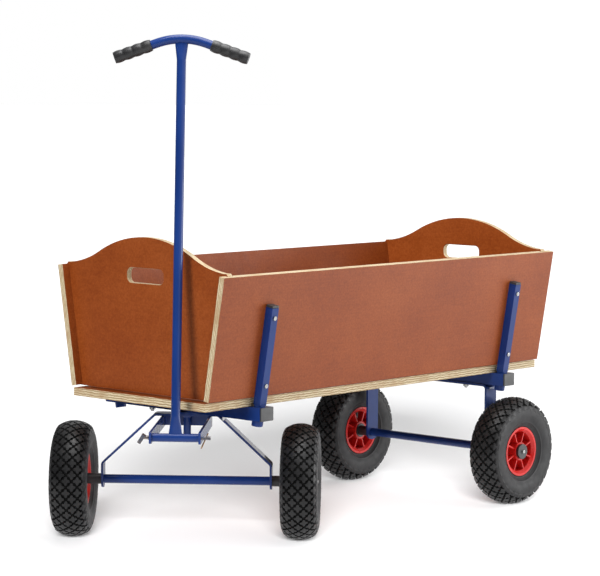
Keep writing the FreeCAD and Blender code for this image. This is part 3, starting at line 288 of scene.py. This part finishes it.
def shown(node, material):
    """A CAD node that is shown as it is, in a better finish."""
    mesh = nodes[node].data
    mesh.materials.clear()
    mesh.materials.append(material)


# ---------------------------------------------------------------- plywood box

DECK_THICK = 0.018
BOARD_THICK = 0.015
HAND_SLOT_REACH = 0.058             # half its width, with a little to spare
HAND_SLOT_HEIGHTS = (0.570, 0.620)

lift = joints["left_side_lift"]["axis"]
LEAN = math.atan2(lift[0], lift[2])  # how far the side panels lean out


def middle_of(node, direction):
    """Mid-plane of a flat node along a direction."""
    reach = [v.co.dot(direction) for v in nodes[node].data.vertices]
    return (min(reach) + max(reach)) / 2


def in_hand_slot(point):
    low, high = HAND_SLOT_HEIGHTS
    return abs(point.x) < HAND_SLOT_REACH and low < point.z < high


def board(node, across, thick, grain, is_rounded=None):
    across = Vector(across)
    material = plywood(node + "_plywood", across, thick, middle_of(node, across), grain)
    eased(node, BOARD_EDGE, material, is_rounded)


board("deck", (0, 0, 1), DECK_THICK, (0, 1, 0))
board("left_side_panel", (math.cos(LEAN), 0, -math.sin(LEAN)), BOARD_THICK, (0, 1, 0))
board("right_side_panel", (-math.cos(LEAN), 0, -math.sin(LEAN)), BOARD_THICK, (0, 1, 0))
board("front_board", (0, -1, 0), BOARD_THICK, (1, 0, 0), in_hand_slot)
board("rear_board", (0, 1, 0), BOARD_THICK, (1, 0, 0), in_hand_slot)

# ---------------------------------------------------------------- steelwork

for node in ("front_beam", "rear_beam", "left_stakes", "right_stakes", "rear_axle_frame",
             "front_axle_frame", "drawbar_fork"):
    eased(node, STEEL_EDGE, BLUE)
for node in ("stake_sockets", "rear_axle", "front_axle", "king_sleeve", "turntable_ring",
             "drawbar_hinge_tube", "drawbar_tube", "handlebar", "left_stake_spigots",
             "right_stake_spigots"):
    shown(node, BLUE)
for node in ("beam_end_caps", "left_stake_caps", "right_stake_caps", "front_hub_caps",
             "rear_hub_caps"):
    eased(node, CAP_EDGE, BLACK)
for node in ("front_axle_spacers", "rear_axle_spacers"):
    shown(node, BLACK)
for node in ("deck_bolts", "deck_nuts", "king_bolt", "king_nut", "left_stake_bolts",
             "right_stake_bolts", "left_stake_nuts", "right_stake_nuts", "front_axle_screws",
             "rear_axle_screws"):
    eased(node, SMALL_EDGE, ZINC)
eased("drawbar_pin", SMALL_EDGE, STEEL)
shown("pin_clip", BRASS)
for node in ("left_grip", "right_grip"):
    shown(node, GRIP)

# ---------------------------------------------------------------- wheels

CROWN = 0.1300                  # outer radius over the tread
SHOULDER = (0.0350, 0.1190)     # where the crown turns into the sidewall: half width, radius
BEAD = (0.0245, 0.0570)         # the tyre's foot in the rim: half width, radius
BULGE = 0.0425                  # half width at the widest point
TYRE_WALL = 0.0035
TREAD_DEEP = 0.0042
TREAD_FOOT = 0.1115             # radius where the shoulder blocks end
INSIDE = 0.0001                 # how far rings and blocks stay under the section's outline
RING_RISE = 0.0006              # how far the bare sidewall lies under it
SKIN_STEP = 0.003               # between points of the skin's section
SKIN_TURNS = 96

PITCHES = 30                    # of the tread pattern in one turn
COLUMN = 0.0129                 # between columns of blocks, across the tread
OUTER_COLUMN = 4
BLOCK_FILL = 0.91               # how much of its cell a block fills,
OUTER_FILL = 0.68               # and in the outer columns
NOTCH = 0.14                    # depth of the notches, as a share of a block's side
CLIP = 0.0023                   # length of the clipped corners
TAPER = 0.88                    # a block's top against its foot
BLOCK_FOOT = TREAD_DEEP * 1.15  # how deep a block is rooted under the crown


def arc_through(first, last, rise):
    """Centre, radius and end angles of an arc that bulges to +x by rise beyond its chord."""
    first, last = Vector(first), Vector(last)
    chord = last - first
    radius = (chord.length_squared / 4 + rise * rise) / (2 * rise)
    out = Vector((chord.y, -chord.x)).normalized()
    centre = (first + last) / 2 + out * (rise - radius)
    low, high = [math.atan2(p.y - centre.y, p.x - centre.x) for p in (first, last)]
    return centre, radius, low, high


SIDE_CENTRE, SIDE_RADIUS, SIDE_LOW, SIDE_HIGH = arc_through(
    BEAD, SHOULDER, BULGE - (BEAD[0] + SHOULDER[0]) / 2)
TOP_RADIUS = (SHOULDER[0] ** 2 + (CROWN - SHOULDER[1]) ** 2) / (2 * (CROWN - SHOULDER[1]))
TOP_ANGLE = math.asin(SHOULDER[0] / TOP_RADIUS)
TOP_LENGTH = TOP_RADIUS * TOP_ANGLE     # from the tread's middle to its shoulder


def on_section(along, height):
    """A point of the tyre's section: along is measured over the tread from its middle."""
    side = -1 if along < 0 else 1
    along = abs(along)
    if along < TOP_LENGTH:
        angle = along / TOP_RADIUS
        reach = TOP_RADIUS + height
        point = (reach * math.sin(angle), CROWN - TOP_RADIUS + reach * math.cos(angle))
    else:
        angle = SIDE_HIGH - (along - TOP_LENGTH) / SIDE_RADIUS
        reach = SIDE_RADIUS + height
        point = (SIDE_CENTRE.x + reach * math.cos(angle), SIDE_CENTRE.y + reach * math.sin(angle))
    return Vector((side * point[0], point[1]))


def wheel_frame(wheel):
    """The wheel's own axes: x along the axle, z up."""
    joint = joints[wheel + "_spin"]
    axle = Vector(joint["axis"]).normalized()
    up = Vector((0, 0, 1))
    turn = Matrix((axle, up.cross(axle), up)).transposed().to_4x4()
    return Matrix.Translation(Vector(joint["pos_m"])) @ turn


def skin_marks():
    """Corners of the skin's section, from its middle to a bead: distance along and height."""
    bead = TOP_LENGTH + SIDE_RADIUS * (SIDE_HIGH - SIDE_LOW)
    foot_angle = math.asin((TREAD_FOOT - SIDE_CENTRE.y) / SIDE_RADIUS)
    foot = TOP_LENGTH + SIDE_RADIUS * (SIDE_HIGH - foot_angle)
    marks = [(0, -TREAD_DEEP), (TOP_LENGTH * 0.5, -TREAD_DEEP), (TOP_LENGTH, -TREAD_DEEP),
             (foot - 0.002, -TREAD_DEEP), (foot, -0.0003)]
    rings = [(foot + 0.006, foot + 0.0075), (bead - 0.020, bead - 0.0185),
             (bead - 0.0085, bead - 0.0035)]
    for start, end in rings:
        marks += [(start - RING_RISE, -RING_RISE), (start, -INSIDE), (end, -INSIDE),
                  (end + RING_RISE, -RING_RISE)]
    return marks + [(bead, -0.0005)]


def carcass():
    """The tyre's skin under the tread, with three raised rings on each sidewall."""
    bm = bmesh.new()
    half = skin_marks()
    marks = [(-along, height) for along, height in reversed(half[1:])] + half
    section = []
    for (start, low), (end, high) in zip(marks, marks[1:]):
        parts = max(1, round((end - start) / SKIN_STEP))
        for k in range(parts):
            share = k / parts
            section.append(on_section(start + (end - start) * share, low + (high - low) * share))
    section.append(on_section(*marks[-1]))
    chain = [bm.verts.new((point.x, 0, point.y)) for point in section]
    for first, second in zip(chain, chain[1:]):
        bm.edges.new((first, second))
    bmesh.ops.spin(bm, geom=bm.verts[:] + bm.edges[:], cent=(0, 0, 0), axis=(1, 0, 0),
                   angle=math.tau, steps=SKIN_TURNS, use_merge=True, use_duplicate=False)
    bmesh.ops.recalc_face_normals(bm, faces=bm.faces)
    bm.faces.ensure_lookup_table()
    outermost = max(bm.faces, key=lambda face: face.calc_center_median().yz.length)
    if outermost.normal.yz.dot(outermost.calc_center_median().yz) < 0:
        bmesh.ops.reverse_faces(bm, faces=bm.faces)
    return bm


def tread_block(bm, across, along, half_across, half_along):
    """A diamond block with clipped corners and a notch in each side, on the unrolled tread."""
    made = bmesh.ops.create_grid(bm, x_segments=4, y_segments=4, size=0.5)["verts"]
    for vert in made:
        mid_side = vert.is_boundary and min(abs(vert.co.x), abs(vert.co.y)) < 0.1
        if mid_side:
            vert.co *= 1 - 2 * NOTCH
    bmesh.ops.rotate(bm, verts=made, matrix=Matrix.Rotation(math.radians(45), 3, "Z"))
    stretch = math.sqrt(2)
    bmesh.ops.scale(bm, verts=made, vec=(half_across * stretch, half_along * stretch, 1))
    bmesh.ops.translate(bm, verts=made, vec=(across, along, -BLOCK_FOOT))
    corners = [v for v in made if len(v.link_edges) == 2]
    clipped = bmesh.ops.bevel(bm, geom=corners, offset=CLIP, segments=1, profile=0.5, material=-1,
                              affect="VERTICES")
    verts = [v for v in made if v.is_valid] + clipped["verts"]
    faces = list({f for v in verts for f in v.link_faces})
    raised = bmesh.ops.extrude_face_region(bm, geom=faces, use_keep_orig=True)["geom"]
    tops = [v for v in raised if isinstance(v, bmesh.types.BMVert)]
    bmesh.ops.translate(bm, verts=tops, vec=(0, 0, BLOCK_FOOT - INSIDE))
    bmesh.ops.scale(bm, verts=tops, vec=(TAPER, TAPER, 1),
                    space=Matrix.Translation((-across, -along, 0)))


def tread():
    """All blocks of one tyre, rolled on to it."""
    bm = bmesh.new()
    pitch = math.tau * CROWN / PITCHES
    for column in range(-OUTER_COLUMN, OUTER_COLUMN + 1):
        row = abs(column) % 2
        fill = OUTER_FILL if abs(column) == OUTER_COLUMN else BLOCK_FILL
        tread_block(bm, column * COLUMN, row * pitch / 2, COLUMN * fill, pitch / 2 * fill)
    strip = bm.verts[:] + bm.edges[:] + bm.faces[:]
    for turn in range(1, PITCHES):
        copy = bmesh.ops.duplicate(bm, geom=strip)["geom"]
        bmesh.ops.translate(bm, verts=[v for v in copy if isinstance(v, bmesh.types.BMVert)],
                            vec=(0, turn * pitch, 0))
    bmesh.ops.recalc_face_normals(bm, faces=bm.faces)
    for vert in bm.verts:
        point = on_section(vert.co.x, vert.co.z)
        angle = vert.co.y / CROWN
        vert.co = (point.x, -point.y * math.sin(angle), point.y * math.cos(angle))
    return bm


def make_tyre(wheel):
    body = wheel + "_wheel"
    place = wheel_frame(wheel)
    skin = carcass()
    bmesh.ops.transform(skin, matrix=place, verts=skin.verts)
    cover = finish_piece(skin, wheel + "_tyre_skin", TYRE, body, [wheel + "_tyre"])
    # the skin between the blocks gets a darker, duller rubber: painted shade of the grooves
    cover.data.materials.append(GROOVE_SHADE)
    hub = place.translation
    axle = place.col[0].xyz
    for face in cover.data.polygons:
        out = face.center - hub
        if (out - axle * out.dot(axle)).length > TREAD_FOOT:
            face.material_index = 1
    wall = cover.modifiers.new("wall", "SOLIDIFY")
    wall.thickness = TYRE_WALL
    wall.offset = -1
    blocks = tread()
    bmesh.ops.transform(blocks, matrix=place, verts=blocks.verts)
    finish_piece(blocks, wheel + "_tread_blocks", TREAD, body, smooth=False)


for wheel in ("front_left", "front_right", "rear_left", "rear_right"):
    make_tyre(wheel)
    shown(wheel + "_inner_tube", TUBE)
    shown(wheel + "_bushes", NYLON)
    eased(wheel + "_rim", RIM_EDGE, RED)


# ---------------------------------------------------------------- studio

def link(name, data):
    made = bpy.data.objects.new(name, data)
    bpy.context.scene.collection.objects.link(made)
    return made


def aim(holder, direction):
    holder.rotation_euler = Vector(direction).to_track_quat("-Z", "Y").to_euler()


def make_floor():
    bm = bmesh.new()
    bmesh.ops.create_grid(bm, x_segments=1, y_segments=1, size=60)
    mesh = bpy.data.meshes.new("studio_floor")
    bm.to_mesh(mesh)
    bm.free()
    floor = link("studio_floor", mesh)
    f = Finish("pale_floor", Roughness=0.75, Emission_Color=(1, 1, 1, 1))
    pale = f.ramp(f.noise(0.7, 2), [(0.3, (0.86, 0.86, 0.865)), (0.7, (0.885, 0.885, 0.89))])
    # off the wagon's front right corner the floor turns dark, so that it throws no light back
    away = f.along((-0.66, -0.75, 0))
    near, far = 1.0, 2.4
    f.colour(f.mix(f.span(away, near, far, 0.0, 1.0), pale, (0.10, 0.10, 0.10)))
    # seen straight on, that part is as white as the rest
    seen = f.node("LightPath").outputs["Is Camera Ray"]
    glow = f.math("MULTIPLY", seen, f.span(away, near, far, 0.0, 0.95))
    # near the wagon the floor also glows faintly, fading out towards its dark part: painted light that lifts the
    # floor's shadows
    f.feed("Emission Strength", f.math("ADD", glow, f.span(away, near, far, 0.06, 0.0)))
    mesh.materials.append(f.material)
    return floor


def make_softbox(name, place, target, size, power):
    lamp = bpy.data.lights.new(name, "AREA")
    lamp.shape = "RECTANGLE"
    lamp.size, lamp.size_y = size
    lamp.energy = power
    holder = link(name, lamp)
    holder.location = place
    aim(holder, Vector(target) - Vector(place))
    return holder


def make_sun(name, direction, strength, spread):
    """A broad sun that doesn't show in reflections. spread is its width in degrees."""
    lamp = bpy.data.lights.new(name, "SUN")
    lamp.energy = strength
    lamp.angle = math.radians(spread)
    holder = link(name, lamp)
    holder.visible_glossy = False
    aim(holder, direction)
    return holder


def share_out(lamp, floor, state):
    """Lets a lamp light the floor alone, INCLUDE, or everything but the floor, EXCLUDE."""
    lit = bpy.data.collections.new(lamp.name + "_lit")
    lit.objects.link(floor)
    lit.collection_objects[0].light_linking.link_state = state
    lamp.light_linking.receiver_collection = lit


def make_backdrop():
    """White behind the wagon and on its left, nearly dark in front and on its right."""
    world = bpy.data.worlds.new("studio")
    world.use_nodes = True
    f = Patterns(world.node_tree)
    shade = f.span(f.along((0.45, 0.85, 0.28), "Generated"), 0.0, 0.35, 0.03, 1.08)
    # seen straight on, it is white on every side
    seen = f.node("LightPath").outputs["Is Camera Ray"]
    backdrop = f.tree.nodes["Background"]
    backdrop.inputs["Color"].default_value = (1, 1, 1, 1)
    f.tree.links.new(f.math("MAXIMUM", seen, shade), backdrop.inputs["Strength"])
    bpy.context.scene.world = world


def make_studio():
    floor = make_floor()
    make_backdrop()
    # two keys side by side soften the wagon's own shadows; the floor's comes from the wash
    for across in (-0.09, 0.05):
        share_out(make_sun("key", (across, 0.85, -0.42), 1.33, 12), floor, "EXCLUDE")
    top = make_softbox("top_softbox", (0.35, -0.45, 2.6), (0.2, -0.2, 0.5), (1.3, 1.7), 52)
    share_out(top, floor, "EXCLUDE")
    share_out(make_sun("floor_wash", (-0.635, 0.709, -0.309), 8.9, 24), floor, "INCLUDE")
    side = make_softbox("side_softbox", (2.7, 2.4, 0.6), (0, 0.2, 0.4), (2.2, 1.1), 60)
    share_out(side, floor, "EXCLUDE")
    bpy.context.scene.view_settings.view_transform = "Standard"


def make_camera():
    heading, downwards, roll = 41.878, 4.914, 0.4       # degrees
    lens = bpy.data.cameras.new("camera")
    lens.sensor_fit = "HORIZONTAL"
    lens.sensor_width = 36
    lens.lens = 146.55
    lens.clip_end = 200
    holder = link("camera", lens)
    turn = (Matrix.Rotation(math.radians(heading), 4, "Z")
            @ Matrix.Rotation(math.radians(90 - downwards), 4, "X")
            @ Matrix.Rotation(math.radians(roll), 4, "Z"))
    holder.matrix_world = Matrix.Translation((3.7951, -4.2325, 1.0271)) @ turn
    bpy.context.scene.camera = holder


make_studio()
make_camera()
